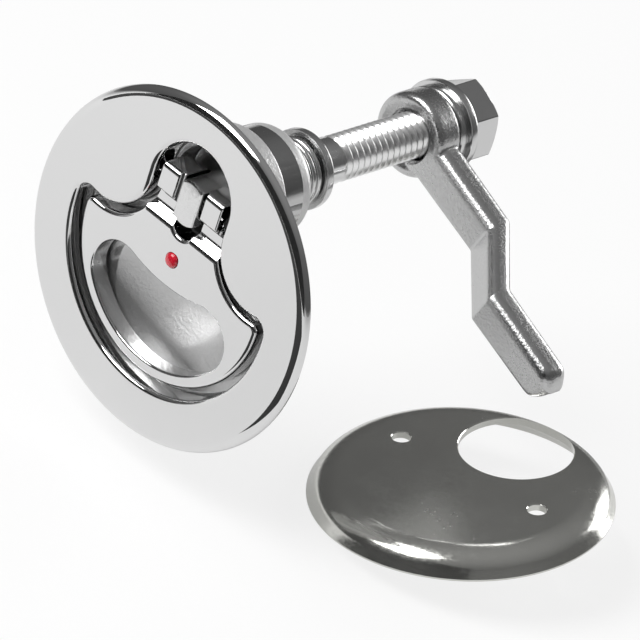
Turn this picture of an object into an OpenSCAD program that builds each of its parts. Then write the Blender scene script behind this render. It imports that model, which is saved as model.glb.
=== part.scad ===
// Flush pull latch with a turning lift handle, a sprung spindle, a joggled cam arm and a loose backing plate.
// The spindle runs along +Y, the polished face looks along -Y and the handle hangs down along -Z.
// The origin is the centre of the face plate, in the plane where its back seats on the hatch.

/* [Face plate] */
// Diameter of the face plate
face_d = 76; // [72:1:84]
// Thickness of the face plate
face_t = 2; // [1.6:0.1:3]
// Width of the rounded rim of the face plate
rim_w = 2.2; // [1:0.1:3]

/* [Recess] */
// Height of the spindle above the centre of the face plate
spindle_z = 16.4; // [15:0.1:18]
// Radius of the round end of the recess, round the spindle head
lobe_r = 10.5; // [10:0.1:12]
// Height of the round end's centre above the spindle
lobe_rise = 2.4; // [1:0.1:3]
// Radius of the pan's round lower edge
pan_r = 27.4; // [26.8:0.1:29]
// Height of the centre of that edge
pan_z = 0.6; // [0:0.1:1]
// Radius of the hollow curves between the round end and the pan's shoulders
shoulder_r = 11; // [9:0.1:12]
// Height of the centres of those hollow curves
shoulder_z = 15.4; // [14.5:0.1:17]
// Radius of the pan's shoulders
horn_r = 3; // [2:0.1:4]
// Rounding where the recess meets the polished face
mouth_r = 1.1; // [0.6:0.1:1.5]
// Depth of the pan's ledge behind the seating plane
ledge_y = 4.2; // [4:0.1:4.6]
// Radius of the spherical finger dish
dish_r = 40; // [39:0.5:41]
// Depth of the finger dish behind the seating plane
dish_y = 7.8; // [6:0.1:8.5]
// Height of the middle of the finger dish
dish_z = -9.4; // [-9.6:0.1:-9.2]
// Radius of that deep pocket's round upper end
pocket_r = 10; // [10:0.1:10.2]
// Lower end of the deep pocket
pocket_z = 8; // [7.4:0.1:8.2]

/* [Housing back] */
// Radius of the round body that fills the cut-out in the hatch
spigot_r = 31; // [30.8:0.1:31.4]
// Wall of that round body
spigot_wall = 2.6; // [2.5:0.1:3]
// Wall behind and beside the pan
pan_wall = 1.8; // [1.5:0.1:2]
// Radius of the thick round body behind the spindle head
head_r = 14; // [13.6:0.1:14.2]
// Wall behind the pocket floor
floor_wall = 3.1; // [2.5:0.1:4]
// Radius of the spindle boss
boss_r = 11.8; // [11:0.1:12.5]
// Depth of the boss end behind the seating plane
boss_y = 23; // [20:0.5:26]
// Rounding of the boss end
boss_round = 2; // [1:0.1:2.5]
// Half of the distance between the two screw bosses
screw_x = 18.9; // [17:0.1:20]
// Height of the screw bosses
screw_z = 2; // [1:0.1:3]
// Depth of the screw bosses' ends behind the seating plane
screw_boss_y = 12; // [11:0.5:14]
// Radius of the screw bosses
screw_boss_r = 4; // [3.5:0.1:4.5]
// Radius of the tapped holes
tap_r = 1.65; // [1.2:0.05:2.1]
// Depth of the tapped holes
tap_depth = 5; // [4:0.5:5.5]

/* [Handle] */
// Distance of the handle's face behind the polished face
handle_sink = 1; // [0.6:0.1:1.3]
// Thickness of the handle's plate
handle_t = 4.6; // [3.6:0.1:4.7]
// Gap between the handle and the pan's lower edge
handle_gap = 2.2; // [1.5:0.1:3]
// Half of the neck's width
neck_x = 9.4; // [9.3:0.1:9.6]
// Radius of the hollow curves beside the neck
neck_r = 12.2; // [10:0.1:12.6]
// Height of the centres of those hollow curves
neck_z = 14.4; // [12.6:0.1:15]
// Radius of the handle's two horns
handle_horn_r = 1.9; // [1.5:0.1:2.4]
// Width of the rim left below the finger opening
grip_w = 2.8; // [2.4:0.1:3.5]
// Radius of the finger opening's two ends
grip_end_r = 7; // [6:0.1:7.5]
// Half of the distance between those ends
grip_end_x = 12; // [11:0.1:12.4]
// Height of the opening's upper edge, in its middle
grip_top_z = -3.8; // [-5:0.1:-3.5]

/* [Ears and pivot] */
// Width of each ear
ear_w = 5.5; // [5:0.1:5.5]
// Distance of the pivot pin behind the polished face
pivot_depth = 4; // [3.8:0.1:4.4]
// Distance from the pivot to the pocket floor with the handle down
cam_high = 7.5; // [7.2:0.1:7.8]
// How far lifting the handle lets the spindle draw back
cam_travel = 2.5; // [1.5:0.1:2.6]
// Gap between the ears and the pocket floor
cam_gap = 0.12; // [0.1:0.01:0.2]
// Depth of the groove between the ears and the handle's plate
groove_d = 2.1; // [1:0.1:2.2]
// Radius of the pivot pin
pin_r = 2; // [1.5:0.1:2.2]
// Radius of the red marker
marker_r = 1.1; // [0.8:0.1:1.4]
// Height of the red marker
marker_z = 2.6; // [1:0.1:3]

/* [Spindle] */
// Radius of the spindle and its thread
spindle_r = 5; // [4.5:0.1:5]
// Thickness of the flat tongue between the ears
tongue_t = 5.6; // [5:0.1:6]
// Gap on each side of the tongue
tongue_gap = 0.4; // [0.2:0.05:0.5]
// Start of the thread, behind the seating plane
thread_y = 40; // [38:1:44]
// Pitch of the thread
thread_pitch = 1.78; // [1.5:0.01:1.8]
// Depth of the thread
thread_depth = 0.86; // [0.7:0.01:0.9]
// Length of the spindle's end past the nut
stub = 1.5; // [0.5:0.1:3]
// Running clearance round the spindle and the pin
run_gap = 0.08; // [0.03:0.01:0.1]

/* [Spring and retainer] */
// Length of the spring as fitted, with the handle down
spring_len = 7.6; // [7.4:0.1:10]
// Wire diameter of the spring
wire_d = 1.25; // [1:0.05:1.3]
// Number of turns of the spring
turns = 4.25; // [3.25:0.25:4.5]
// Outer radius of the spring
spring_r = 7.5; // [7.2:0.1:7.8]
// Radius of the retainer washer
retainer_r = 8.5; // [8:0.1:9]
// Thickness of the retainer washer
retainer_t = 1.8; // [1:0.1:2]
// Thickness of the retaining ring
ring_t = 1; // [0.8:0.1:1.2]
// Radius of the retaining ring
ring_r = 6.3; // [6:0.1:6.6]
// Depth of the groove for the retaining ring
ring_groove = 0.6; // [0.4:0.05:0.8]

/* [Cam arm] */
// Distance of the arm's hub behind the seating plane
hub_y = 63.8; // [58:0.1:66]
// Radius of the hub
hub_r = 9.1; // [8.6:0.1:9.6]
// Thickness of the arm
arm_t = 6.8; // [5.5:0.1:8]
// Width of the bevel at the mouth of the hub's bore
hub_bevel = 0.65; // [0.3:0.05:1]
// Width of the arm at the hub
arm_w = 9; // [8:0.1:10]
// Width of the arm at its tip
tip_w = 7; // [6:0.1:8]
// Distance from the spindle to the first bend
bend_1 = 27; // [22:0.5:30]
// Distance from the spindle to the second bend
bend_2 = 41.5; // [38:0.5:44]
// Distance from the spindle to the tip
reach = 64.5; // [60:0.5:70]
// How far the end steps towards the face
joggle = 12; // [8:0.5:14]
// Angle of the arm below the horizontal
arm_angle = 19.7; // [0:0.1:90]

/* [Nut and washers] */
// Thickness of the lock washer
lock_t = 2.2; // [1.6:0.1:2.6]
// Radius of the lock washer
lock_r = 9; // [8.6:0.1:9.2]
// Thickness of the flat washer
washer_t = 2; // [1.6:0.1:2.5]
// Radius of the flat washer
washer_r = 10; // [9.6:0.1:11]
// Width of the nut across its flats
nut_af = 16; // [15:0.5:17]
// Height of the nut
nut_h = 8; // [7:0.1:9]

/* [Backing plate] */
// Diameter of the backing plate
plate_d = 63.5; // [60:0.5:70]
// Height of the plate's dish
plate_h = 5.2; // [3.5:0.1:6]
// Thickness of the plate's sheet
plate_t = 1.5; // [1:0.1:2]
// Width of the plate's rolled edge, seen from above
plate_roll = 4.6; // [3.5:0.1:5.5]
// Clearance round the boss in the plate's large hole
plate_gap = 0.2; // [0.15:0.05:0.6]
// Radius of the plate's two screw holes
plate_hole_r = 2; // [1.7:0.1:2.4]
// Place of the plate's lower edge, where it lies beside the latch
plate_at = [50.9, 50.2, -37.4];
// Lean of the plate as it lies
plate_lean = [7.8, -10.9, 0];
// Turn of the plate about its own axis
plate_turn = 0; // [-180:1:180]

/* [Hidden] */
$fn = 96;
steel = [0.80, 0.81, 0.82];
face_y = -face_t;
lobe_z = spindle_z + lobe_rise;
slot_w = tongue_t + 2 * tongue_gap;
ear_x = slot_w / 2 + ear_w;
pivot_y = face_y + pivot_depth;
pocket_floor_y = pivot_y + cam_high;
back_y = pocket_floor_y + floor_wall;
spigot_y = ledge_y + pan_wall;
spring_end_y = boss_y + spring_len;
ring_y = spring_end_y + retainer_t;
lock_y = hub_y + arm_t;
washer_y = lock_y + lock_t;
nut_y = washer_y + washer_t;
spindle_end_y = nut_y + nut_h + stub;

// Points of an arc about c, from angle a to angle b in n steps; an open arc leaves its last point out
function arc(c, r, a, b, n, open = 0) =
    [for (i = [0:n - open]) let (t = a + (b - a) * i / n) c + r * [cos(t), sin(t)]];

// Direction from p to q, in degrees
function heading(p, q) = atan2(q[1] - p[1], q[0] - p[0]);

// The right-hand crossing of two circles, below the line between their centres
function crossing(p, rp, q, rq) =
    let (d = norm(q - p), a = (d * d + rp * rp - rq * rq) / (2 * d), h = sqrt(rp * rp - a * a), u = (q - p) / d)
    p + a * u + h * [u[1], -u[0]];

// Centre of the rounded horn that joins a hollow shoulder to a round lower edge
function horn_at(neck, hollow, hollow_z, horn, round_r, round_z) =
    crossing([0, round_z], round_r - horn, [neck + hollow, hollow_z], hollow + horn);

// The right half of a winged outline below its top: hollow shoulder, horn and round lower edge, grown by g
function wing(neck, hollow, hollow_z, horn, round_r, round_z, g) =
    let (f = [neck + hollow, hollow_z], p = [0, round_z], h = horn_at(neck, hollow, hollow_z, horn, round_r, round_z))
    concat(arc(f, hollow - g, 180, 360 + heading(f, h), 7, 1),
           arc(h, horn + g, heading(h, f), heading(p, h), 4, 1),
           arc(p, round_r + g, heading(p, h), -90, 12));

// A whole outline from its right half, which runs from the top centre to the bottom centre
function mirrored(half) = concat(half, [for (i = [len(half) - 2:-1:1]) [-half[i][0], half[i][1]]]);

function recess_outline(g) =
    mirrored(concat(arc([0, lobe_z], lobe_r + g, 90, 0, 8),
                    wing(lobe_r, shoulder_r, shoulder_z, horn_r, pan_r, pan_z, g)));

// The handle's plate below its ears
function handle_outline() =
    let (half = concat([[neck_x, spindle_z - 1]],
                       wing(neck_x, neck_r, neck_z, handle_horn_r, pan_r - handle_gap, pan_z, 0)))
    concat(half, [for (i = [len(half) - 2:-1:0]) [-half[i][0], half[i][1]]]);

// The kidney-shaped finger opening: two round ends, a round lower edge and a hollow upper edge
function grip_outline() =
    let (outer = pan_r - handle_gap - grip_w, p = [0, pan_z],
         e = [grip_end_x, pan_z - sqrt(pow(outer - grip_end_r, 2) - pow(grip_end_x, 2))],
         drop = grip_top_z - e[1],
         hollow = (pow(grip_end_x, 2) + pow(drop, 2) - pow(grip_end_r, 2)) / (2 * (grip_end_r - drop)),
         q = [0, grip_top_z + hollow])
    mirrored(concat(arc(q, hollow, -90, heading(q, e), 5, 1),
                    arc(e, grip_end_r, heading(e, q), heading(p, e), 12, 1),
                    arc(p, outer, heading(p, e), -90, 10)));

// The deep pocket under the ears, grown by g
function pocket_outline(g) =
    let (foot_r = 3)
    mirrored(concat(arc([0, spindle_z + 1], pocket_r + g, 90, 0, 12),
                    arc([pocket_r - foot_r, pocket_z + foot_r], foot_r + g, 0, -90, 5), [[0, pocket_z - g]]));

// A solid through outlines of equal length; layers are [depth, growth] and the outline is a function of growth
module loft(layers, outline) {
    n = len(outline(0));
    points = [for (s = layers) for (p = outline(s[1])) [p[0], s[0], p[1]]];
    last = (len(layers) - 1) * n;
    sides = [for (k = [0:len(layers) - 2]) for (i = [0:n - 1])
             let (a = k * n + i, b = k * n + (i + 1) % n)
             each [[a, a + n, b + n], [a, b + n, b]]];
    polyhedron(points, concat([[for (i = [0:n - 1]) i]], sides, [[for (i = [n - 1:-1:0]) last + i]]));
}

// Extrudes a drawing in X and Z along Y, from depth a to depth b
module deep(a, b) {
    translate([0, b, 0]) rotate([90, 0, 0]) linear_extrude(b - a) children();
}

// Turns a drawing of radius and depth about the Y axis
module turned() {
    rotate([-90, 0, 0]) rotate_extrude() children();
}

// Extrudes a drawing in Y and Z along X, from a to b
module across(a, b) {
    translate([a, 0, 0]) rotate([90, 0, 90]) linear_extrude(b - a) children();
}

module at_spindle() {
    translate([0, 0, spindle_z]) children();
}

// Corner points of a quarter rounding of radius r, from angle a to angle a + 90
function corner(c, r, a, n = 5) = arc(c, r, a, a + 90, n);

module face_disc() {
    turned() polygon(concat([[0, 0], [face_d / 2, 0]],
        [for (t = [0:15:90]) [face_d / 2 - rim_w * (1 - cos(t)), -face_t * sin(t)]], [[0, face_y]]));
}

module pan_back() {
    deep(-1, spigot_y) difference() {
        circle(spigot_r);
        circle(spigot_r - spigot_wall);
    }
    deep(-1, spigot_y) intersection() {
        polygon(recess_outline(pan_wall));
        circle(spigot_r - spigot_wall / 2);
    }
    translate([0, 0, dish_z]) turned() polygon(concat([[0, 0]],
        [for (t = [25:-2.5:0]) let (r = dish_r + pan_wall) [r * sin(t), dish_y - dish_r + r * cos(t)]]));
}

module boss() {
    at_spindle() turned() polygon(concat([[0, 0], [boss_r, 0]],
        corner([boss_r - boss_round, boss_y - boss_round], boss_round, 0), [[0, boss_y]]));
}

module screw_bosses() {
    for (s = [-1, 1]) translate([s * screw_x, 0, screw_z]) turned() square([screw_boss_r, screw_boss_y]);
}

module tapped_holes() {
    for (s = [-1, 1]) translate([s * screw_x, screw_boss_y - tap_depth, screw_z])
        turned() square([tap_r, tap_depth + 1]);
}

module recess() {
    lap = 0.02;
    mouth = [for (t = [0:30:90]) [face_y + mouth_r * (1 - cos(t)), lap + mouth_r * (1 - sin(t))]];
    loft(concat([[face_y - 1, mouth_r + lap]], mouth, [[face_y + mouth_r + 0.4, -0.4]]),
         function(g) recess_outline(g));
    deep(face_y + mouth_r / 2, ledge_y) polygon(recess_outline(0));
    translate([0, 0, dish_z]) turned() polygon(concat([[0, ledge_y - 1]],
        [for (t = [27.5:-2.5:0]) let (y = dish_y - dish_r * (1 - cos(t))) if (y > ledge_y - 0.9) [dish_r * sin(t), y]]));
    deep(0, pocket_floor_y) polygon(pocket_outline(0));
}

module face_housing() {
    color(steel) difference() {
        union() {
            face_disc();
            pan_back();
            at_spindle() turned() square([head_r, back_y]);
            boss();
            screw_bosses();
        }
        recess();
        tapped_holes();
        at_spindle() turned() square([spindle_r + run_gap, boss_y + 1]);
    }
}

// The ears' side view, about the pivot: the cam falls evenly from cam_high to cam_high - cam_travel in a quarter turn
function cam_reach(t) = cam_high - cam_gap - cam_travel * t / 90;
function cam_edge(t) =
    let (slope = cam_travel / (PI / 2))
    cam_reach(t) * [cos(t), sin(t)] - slope * [-sin(t), cos(t)];

module ear_profile() {
    front = -pivot_depth + 0.1;
    top = cam_reach(90);
    plate_front = handle_sink - pivot_depth;
    plate_back = plate_front + handle_t;
    heel = [cam_reach(0), -2.4];
    translate([pivot_y, spindle_z]) polygon(concat(
        [for (t = [0:7.5:90]) cam_edge(t)],
        [for (p = arc([front + 1, top - 1], 1, 90, 180, 5)) p],
        [[front, -1.2], [plate_front + groove_d, -3], [plate_front + groove_d, -5.6],
         [plate_front, -7.4], [plate_front, -8.4], [plate_back, -7.4], [heel[0] - 1.6, heel[1] - 1.2], heel]));
}

module handle() {
    front_y = face_y + handle_sink;
    back = front_y + handle_t;
    color(steel) difference() {
        union() {
            deep(front_y, back) polygon(handle_outline());
            across(-ear_x, ear_x) ear_profile();
        }
        groove();
        deep(front_y - 1, back + 1) polygon(grip_outline());
        deep(face_y - 1, back_y) slot_plan();
        translate([0, pivot_y, spindle_z]) rotate([0, 90, 0])
            cylinder(r = pin_r + run_gap, h = 2 * ear_x + 2, center = true);
        translate([0, front_y - 1, marker_z]) turned() square([marker_r, 2]);
    }
}

// The groove across the neck, between the ears and the plate
module groove() {
    plate_front = handle_sink - pivot_depth;
    across(-neck_x - 1, neck_x + 1) translate([pivot_y, spindle_z])
        polygon([[plate_front - 2, -0.4], [plate_front - 1, -1.2], [plate_front + groove_d, -3],
                 [plate_front + groove_d, -5.6], [plate_front, -7.4], [plate_front - 2, -7.4]]);
}

module slot_plan() {
    translate([0, spindle_z - 5.3]) circle(slot_w / 2);
    translate([-slot_w / 2, spindle_z - 5.3]) square([slot_w, 30]);
}

module red_marker() {
    front_y = face_y + handle_sink;
    dome = 0.45;
    seat = 0.03;
    r = marker_r - seat;
    color([0.75, 0.05, 0.08]) translate([0, front_y, marker_z]) turned()
        polygon(concat([[0, 1 - seat], [r, 1 - seat], [r, 0]], [for (t = [15:15:90]) [r * cos(t), -dome * sin(t)]]));
}

module pivot_pin() {
    color(steel) translate([0, pivot_y, spindle_z]) rotate([0, 90, 0])
        cylinder(r = pin_r, h = 2 * ear_x - 0.4, center = true);
}

// The thread, as whole turned ridges at its pitch between two depths
function ridges(start, end) =
    let (flank = thread_depth * tan(30), land = (thread_pitch - 2 * flank) / 2)
    [for (y = [start:thread_pitch:end - thread_pitch])
        each [[spindle_r, y], [spindle_r - thread_depth, y + flank],
              [spindle_r - thread_depth, y + flank + land], [spindle_r, y + 2 * flank + land]]];

module spindle() {
    chamfer = 0.8;
    groove_r = spindle_r - ring_groove;
    tip = 0.5;
    color(steel) difference() {
        at_spindle() turned() polygon(concat([
            [0, face_y + 0.1], [spindle_r - tip, face_y + 0.1], [spindle_r, face_y + 0.1 + tip],
            [spindle_r, ring_y], [groove_r, ring_y], [groove_r, ring_y + ring_t + 0.1],
            [spindle_r, ring_y + ring_t + 0.1]], ridges(thread_y, spindle_end_y - chamfer), [
            [spindle_r, spindle_end_y - chamfer], [spindle_r - chamfer, spindle_end_y], [0, spindle_end_y]]));
        for (s = [-1, 1]) translate([s * (tongue_t / 2 + 5), face_y - 1 + (pocket_floor_y - face_y + 1.2) / 2, spindle_z])
            cube([10, pocket_floor_y - face_y + 1.2, 2 * spindle_r + 1], center = true);
        translate([0, pivot_y, spindle_z]) rotate([0, 90, 0])
            cylinder(r = pin_r + run_gap / 2, h = tongue_t + 1, center = true);
    }
}

// A coil of round wire as one swept tube, with 8 sides
module coil(mean_r, length, count, wire) {
    sides = 8;
    per_turn = 24;
    n = round(count * per_turn);
    rise = length - wire;
    // the first and last turns lie close, the rest climb evenly
    function height(i) = wire / 2 + rise * i / n;
    function ring(i) =
        let (a = 360 * i / per_turn)
        [for (k = [0:sides - 1]) let (t = 360 * k / sides, r = mean_r + wire / 2 * cos(t))
            [r * cos(a), height(i) + wire / 2 * sin(t), r * sin(a)]];
    points = [for (i = [0:n]) for (p = ring(i)) p];
    walls = [for (i = [0:n - 1]) for (k = [0:sides - 1])
             let (a = i * sides + k, b = i * sides + (k + 1) % sides)
             each [[a, a + sides, b + sides], [a, b + sides, b]]];
    polyhedron(points, concat([[for (k = [0:sides - 1]) k]], walls,
               [[for (k = [sides - 1:-1:0]) n * sides + k]]));
}

module compression_spring() {
    seat = 0.05;
    color([0.62, 0.63, 0.65]) translate([0, boss_y + seat, spindle_z])
        coil(spring_r - wire_d / 2, spring_len - 2 * seat, turns, wire_d);
}

module washer(r, bore, t, edge) {
    turned() polygon([[bore, 0], [r - edge, 0], [r, edge], [r, t - edge], [r - edge, t], [bore, t]]);
}

module retainer_washer() {
    color(steel) translate([0, spring_end_y, spindle_z])
        washer(retainer_r, spindle_r + run_gap, retainer_t, 0.3);
}

module retaining_ring() {
    color([0.5, 0.5, 0.52]) translate([0, ring_y + 0.05, spindle_z]) difference() {
        turned() translate([spindle_r - ring_groove + 0.02, 0]) square([ring_r - spindle_r + ring_groove, ring_t]);
        translate([-2, -1, 0]) cube([4, ring_t + 2, 10]);
    }
}

module arm_plan() {
    circle(hub_r);
    polygon([[0, -arm_w / 2 - 1.6], [hub_r + 3, -arm_w / 2], [reach - tip_w / 2, -tip_w / 2],
             [reach - tip_w / 2, tip_w / 2], [hub_r + 3, arm_w / 2], [0, arm_w / 2 + 1.6]]);
    translate([reach - tip_w / 2, 0]) circle(tip_w / 2);
}

// Side view of the arm: distance from the spindle against depth
module arm_side() {
    translate([0, hub_y]) polygon([
        [-hub_r - 1, 0], [bend_1, 0], [bend_2, -joggle], [reach + 1, -joggle],
        [reach + 1, arm_t - joggle], [bend_2, arm_t - joggle], [bend_1, arm_t], [-hub_r - 1, arm_t]]);
}

module cam_arm() {
    bore = spindle_r + run_gap;
    color(steel) at_spindle() rotate([0, arm_angle, 0]) difference() {
        intersection() {
            deep(hub_y - joggle - 1, hub_y + arm_t + 1) arm_plan();
            translate([0, 0, -hub_r - 2]) linear_extrude(2 * hub_r + 4) arm_side();
        }
        turned() polygon([[0, hub_y - 1], [bore + hub_bevel, hub_y - 1], [bore + hub_bevel, hub_y],
                          [bore, hub_y + hub_bevel], [bore, hub_y + arm_t + 1], [0, hub_y + arm_t + 1]]);
    }
}

module lock_washer() {
    color([0.68, 0.69, 0.70]) translate([0, lock_y, spindle_z]) rotate([0, -150, 0]) difference() {
        washer(lock_r, spindle_r + 0.3, lock_t, 0.15);
        translate([spindle_r - 1, -1, -0.5]) cube([6, lock_t + 2, 1]);
    }
}

module flat_washer() {
    color(steel) translate([0, washer_y, spindle_z]) washer(washer_r, spindle_r + 0.4, washer_t, 0.25);
}

module hex_nut() {
    corner_r = nut_af / sqrt(3);
    bevel = corner_r - nut_af / 2 + 0.25;
    rise = bevel * tan(30);
    color(steel) translate([0, nut_y, spindle_z]) difference() {
        intersection() {
            rotate([0, -5, 0]) rotate([-90, 0, 0]) rotate(30) cylinder(r = corner_r, h = nut_h, $fn = 6);
            turned() polygon([[0, 0], [corner_r - bevel, 0], [corner_r + 0.1, rise], [corner_r + 0.1, nut_h - rise],
                              [corner_r - bevel, nut_h], [0, nut_h]]);
        }
        turned() translate([0, -1]) square([spindle_r + run_gap, nut_h + 2]);
    }
}

module plate_section() {
    rim = plate_d / 2;
    outer = [for (t = [0:10:90]) [rim - plate_roll + plate_roll * cos(t), plate_h * sin(t)]];
    inner = [for (t = [90:-10:0])
             [rim - plate_roll + (plate_roll - plate_t) * cos(t), (plate_h - plate_t) * sin(t)]];
    polygon(concat(outer, [[0, plate_h], [0, plate_h - plate_t]], inner));
}

module backing_plate() {
    color([0.55, 0.55, 0.53]) translate(plate_at) rotate(plate_lean) rotate([0, 0, plate_turn]) difference() {
        rotate_extrude() plate_section();
        translate([0, spindle_z, -1]) cylinder(r = boss_r + plate_gap, h = plate_h + 2);
        for (s = [-1, 1]) translate([s * screw_x, screw_z, -1]) cylinder(r = plate_hole_r, h = plate_h + 2);
    }
}

face_housing();
handle();
red_marker();
pivot_pin();
spindle();
compression_spring();
retainer_washer();
retaining_ring();
cam_arm();
lock_washer();
flat_washer();
hex_nut();
backing_plate();
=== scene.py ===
"""Flush pull latch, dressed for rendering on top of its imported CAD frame.

Lengths in the classes are millimetres and become metres when a piece is dressed. The frame is the CAD's: the
spindle runs along +Y, the polished face looks along -Y and the handle hangs down along -Z.
"""

import logging
import math
from collections.abc import Callable, Iterable, Mapping, Sequence
from dataclasses import dataclass, field
from enum import Enum
from functools import reduce

import bmesh
import bpy
from mathutils import Matrix, Vector

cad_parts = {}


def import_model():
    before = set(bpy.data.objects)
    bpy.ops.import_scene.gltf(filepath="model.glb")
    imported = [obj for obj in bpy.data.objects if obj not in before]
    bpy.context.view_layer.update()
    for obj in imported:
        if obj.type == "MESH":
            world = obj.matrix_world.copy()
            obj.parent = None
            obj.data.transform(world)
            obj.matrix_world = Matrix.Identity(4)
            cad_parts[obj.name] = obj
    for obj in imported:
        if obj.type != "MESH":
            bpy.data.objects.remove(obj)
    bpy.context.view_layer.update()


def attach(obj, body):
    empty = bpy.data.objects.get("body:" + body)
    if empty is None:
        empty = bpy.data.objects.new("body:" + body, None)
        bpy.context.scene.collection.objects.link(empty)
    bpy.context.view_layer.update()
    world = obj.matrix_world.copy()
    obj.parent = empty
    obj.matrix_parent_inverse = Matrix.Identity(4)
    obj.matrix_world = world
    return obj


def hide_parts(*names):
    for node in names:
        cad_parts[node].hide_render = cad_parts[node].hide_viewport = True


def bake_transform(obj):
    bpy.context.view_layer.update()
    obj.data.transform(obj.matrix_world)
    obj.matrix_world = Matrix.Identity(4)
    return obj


LOG = logging.getLogger("flush_pull_latch")
MM = 0.001
MERGE = 1e-5
SPINDLE_Z = 16.4
AXIS = (0.0, 0.0, SPINDLE_Z)

Point2 = tuple[float, float]
Point3 = tuple[float, float, float]
Outline = list[Point2]
Solid = bpy.types.Object
Material = bpy.types.Material
Socket = bpy.types.NodeSocket


class Body(Enum):
    """The rigid bodies that pieces ride on."""

    HOUSING = "housing"
    SPINDLE = "spindle_group"
    HANDLE = "handle_group"
    ARM = "arm_group"


class Slot(Enum):
    """The record's material slots."""

    POLISHED = "polished_steel"
    TURNED = "turned_steel"
    CAST = "cast_steel"
    SPRING = "spring_steel"
    ROLLED = "rolled_steel"
    RED = "red_enamel"


class Cut(Enum):
    """What a boolean does."""

    ADD = "UNION"
    TAKE = "DIFFERENCE"
    COMMON = "INTERSECT"


# Outlines


def oval(c: Point2, rx: float, ry: float, a: float, b: float, n: int, open_end: bool = False) -> Outline:
    """Points along an ellipse.

    Args:
        c: Centre.
        rx: First radius, negative to start on the other side.
        ry: Second radius, negative to run the other way.
        a: First angle in degrees.
        b: Last angle in degrees.
        n: Number of steps.
        open_end: Leaves the last point out.

    Returns:
        The points in order.
    """
    last = n if open_end else n + 1
    steps = [math.radians(a + (b - a) * i / n) for i in range(last)]
    return [(c[0] + rx * math.cos(t), c[1] + ry * math.sin(t)) for t in steps]


def arc(c: Point2, r: float, a: float, b: float, n: int, open_end: bool = False) -> Outline:
    """Points of an arc, as those of an oval with one radius."""
    return oval(c, r, r, a, b, n, open_end)


def heading(p: Point2, q: Point2) -> float:
    """Direction from p to q in degrees."""
    return math.degrees(math.atan2(q[1] - p[1], q[0] - p[0]))


def crossing(p: Point2, rp: float, q: Point2, rq: float) -> Point2:
    """The right-hand crossing of two circles.

    Args:
        p: First centre.
        rp: First radius.
        q: Second centre.
        rq: Second radius.

    Returns:
        The crossing to the right of the way from p to q.
    """
    dx, dy = q[0] - p[0], q[1] - p[1]
    d = math.hypot(dx, dy)
    a = (d * d + rp * rp - rq * rq) / (2 * d)
    h = math.sqrt(rp * rp - a * a)
    ux, uy = dx / d, dy / d
    return (p[0] + a * ux + h * uy, p[1] + a * uy - h * ux)


def mirrored(half: Outline, keep_first: bool = False) -> Outline:
    """A whole outline from its right half, from the top down to the bottom centre."""
    first = 0 if keep_first else 1
    return half + [(-x, z) for x, z in half[first:-1][::-1]]


def eased(y: float, r: float, growth: int, n: int, back: bool = False) -> Outline:
    """Layers of depth and growth that round an edge.

    Args:
        y: Depth of the face.
        r: Radius of the rounding.
        growth: 1 where the outline widens towards the face, as in a hole, and -1 where it draws in.
        n: Number of steps.
        back: The face is the solid's back one.

    Returns:
        The layers in order of depth.
    """
    side = growth * r
    if back:
        return oval((y - r, side), r, -side, 90, 0, n)
    return oval((y + r, side), -r, -side, 0, 90, n)


def drilled(r: float, low: float, top: float, flare: Point3, over: float) -> Outline:
    """Profile of a hole that widens where it comes out.

    Args:
        r: Radius of the hole.
        low: Depth where it starts.
        top: Depth of the face that it comes out of.
        flare: How much it widens, how far under the face that starts, and how far past the face it ends.
        over: How far the cutter goes on past the face.

    Returns:
        The closed profile of (radius, depth).
    """
    wide, under, past = flare
    return [(0, low), (r, low), (r, top - under), (r + wide, top + past), (r + wide, top + over),
            (0, top + over)]


@dataclass(frozen=True)
class Wing:
    """The winged outline that the recess and the handle share: hollow shoulder, horn and round lower edge."""

    neck: float
    hollow: float
    hollow_z: float
    horn: float
    round_r: float
    round_z: float

    def half(self, g: float) -> Outline:
        """The right half of the outline.

        Args:
            g: How much it is grown.

        Returns:
            Its points from the neck down to the bottom centre.
        """
        f = (self.neck + self.hollow, self.hollow_z)
        p = (0.0, self.round_z)
        h = crossing(p, self.round_r - self.horn, f, self.hollow + self.horn)
        return (
            arc(f, self.hollow - g, 180, 360 + heading(f, h), 28, True)
            + arc(h, self.horn + g, heading(h, f), heading(p, h), 14, True)
            + arc(p, self.round_r + g, heading(p, h), -90, 48)
        )


# Meshes


def linked(name: str, data: bpy.types.ID) -> Solid:
    """A new object in the scene.

    Args:
        name: Object name.
        data: Its mesh, lamp or camera.

    Returns:
        The object.
    """
    obj = bpy.data.objects.new(name, data)
    bpy.context.scene.collection.objects.link(obj)
    return obj


def clean(obj: Solid) -> None:
    """Merges doubled points and turns the faces outwards.

    Args:
        obj: The solid.
    """
    bm = bmesh.new()
    bm.from_mesh(obj.data)
    bmesh.ops.remove_doubles(bm, verts=bm.verts, dist=MERGE)
    bmesh.ops.dissolve_degenerate(bm, dist=MERGE, edges=bm.edges)
    bmesh.ops.recalc_face_normals(bm, faces=bm.faces)
    bm.to_mesh(obj.data)
    bm.free()


def mesh_object(name: str, verts: Iterable[Sequence[float]], faces: Iterable[Sequence[int]]) -> Solid:
    """A linked mesh object with its normals pointing outwards.

    Args:
        name: Object name.
        verts: Points in millimetres.
        faces: Point numbers of each face.

    Returns:
        The new object, still in millimetres.
    """
    mesh = bpy.data.meshes.new(name)
    mesh.from_pydata([tuple(v) for v in verts], [], [tuple(f) for f in faces])
    mesh.validate()
    obj = linked(name, mesh)
    clean(obj)
    return obj


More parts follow.
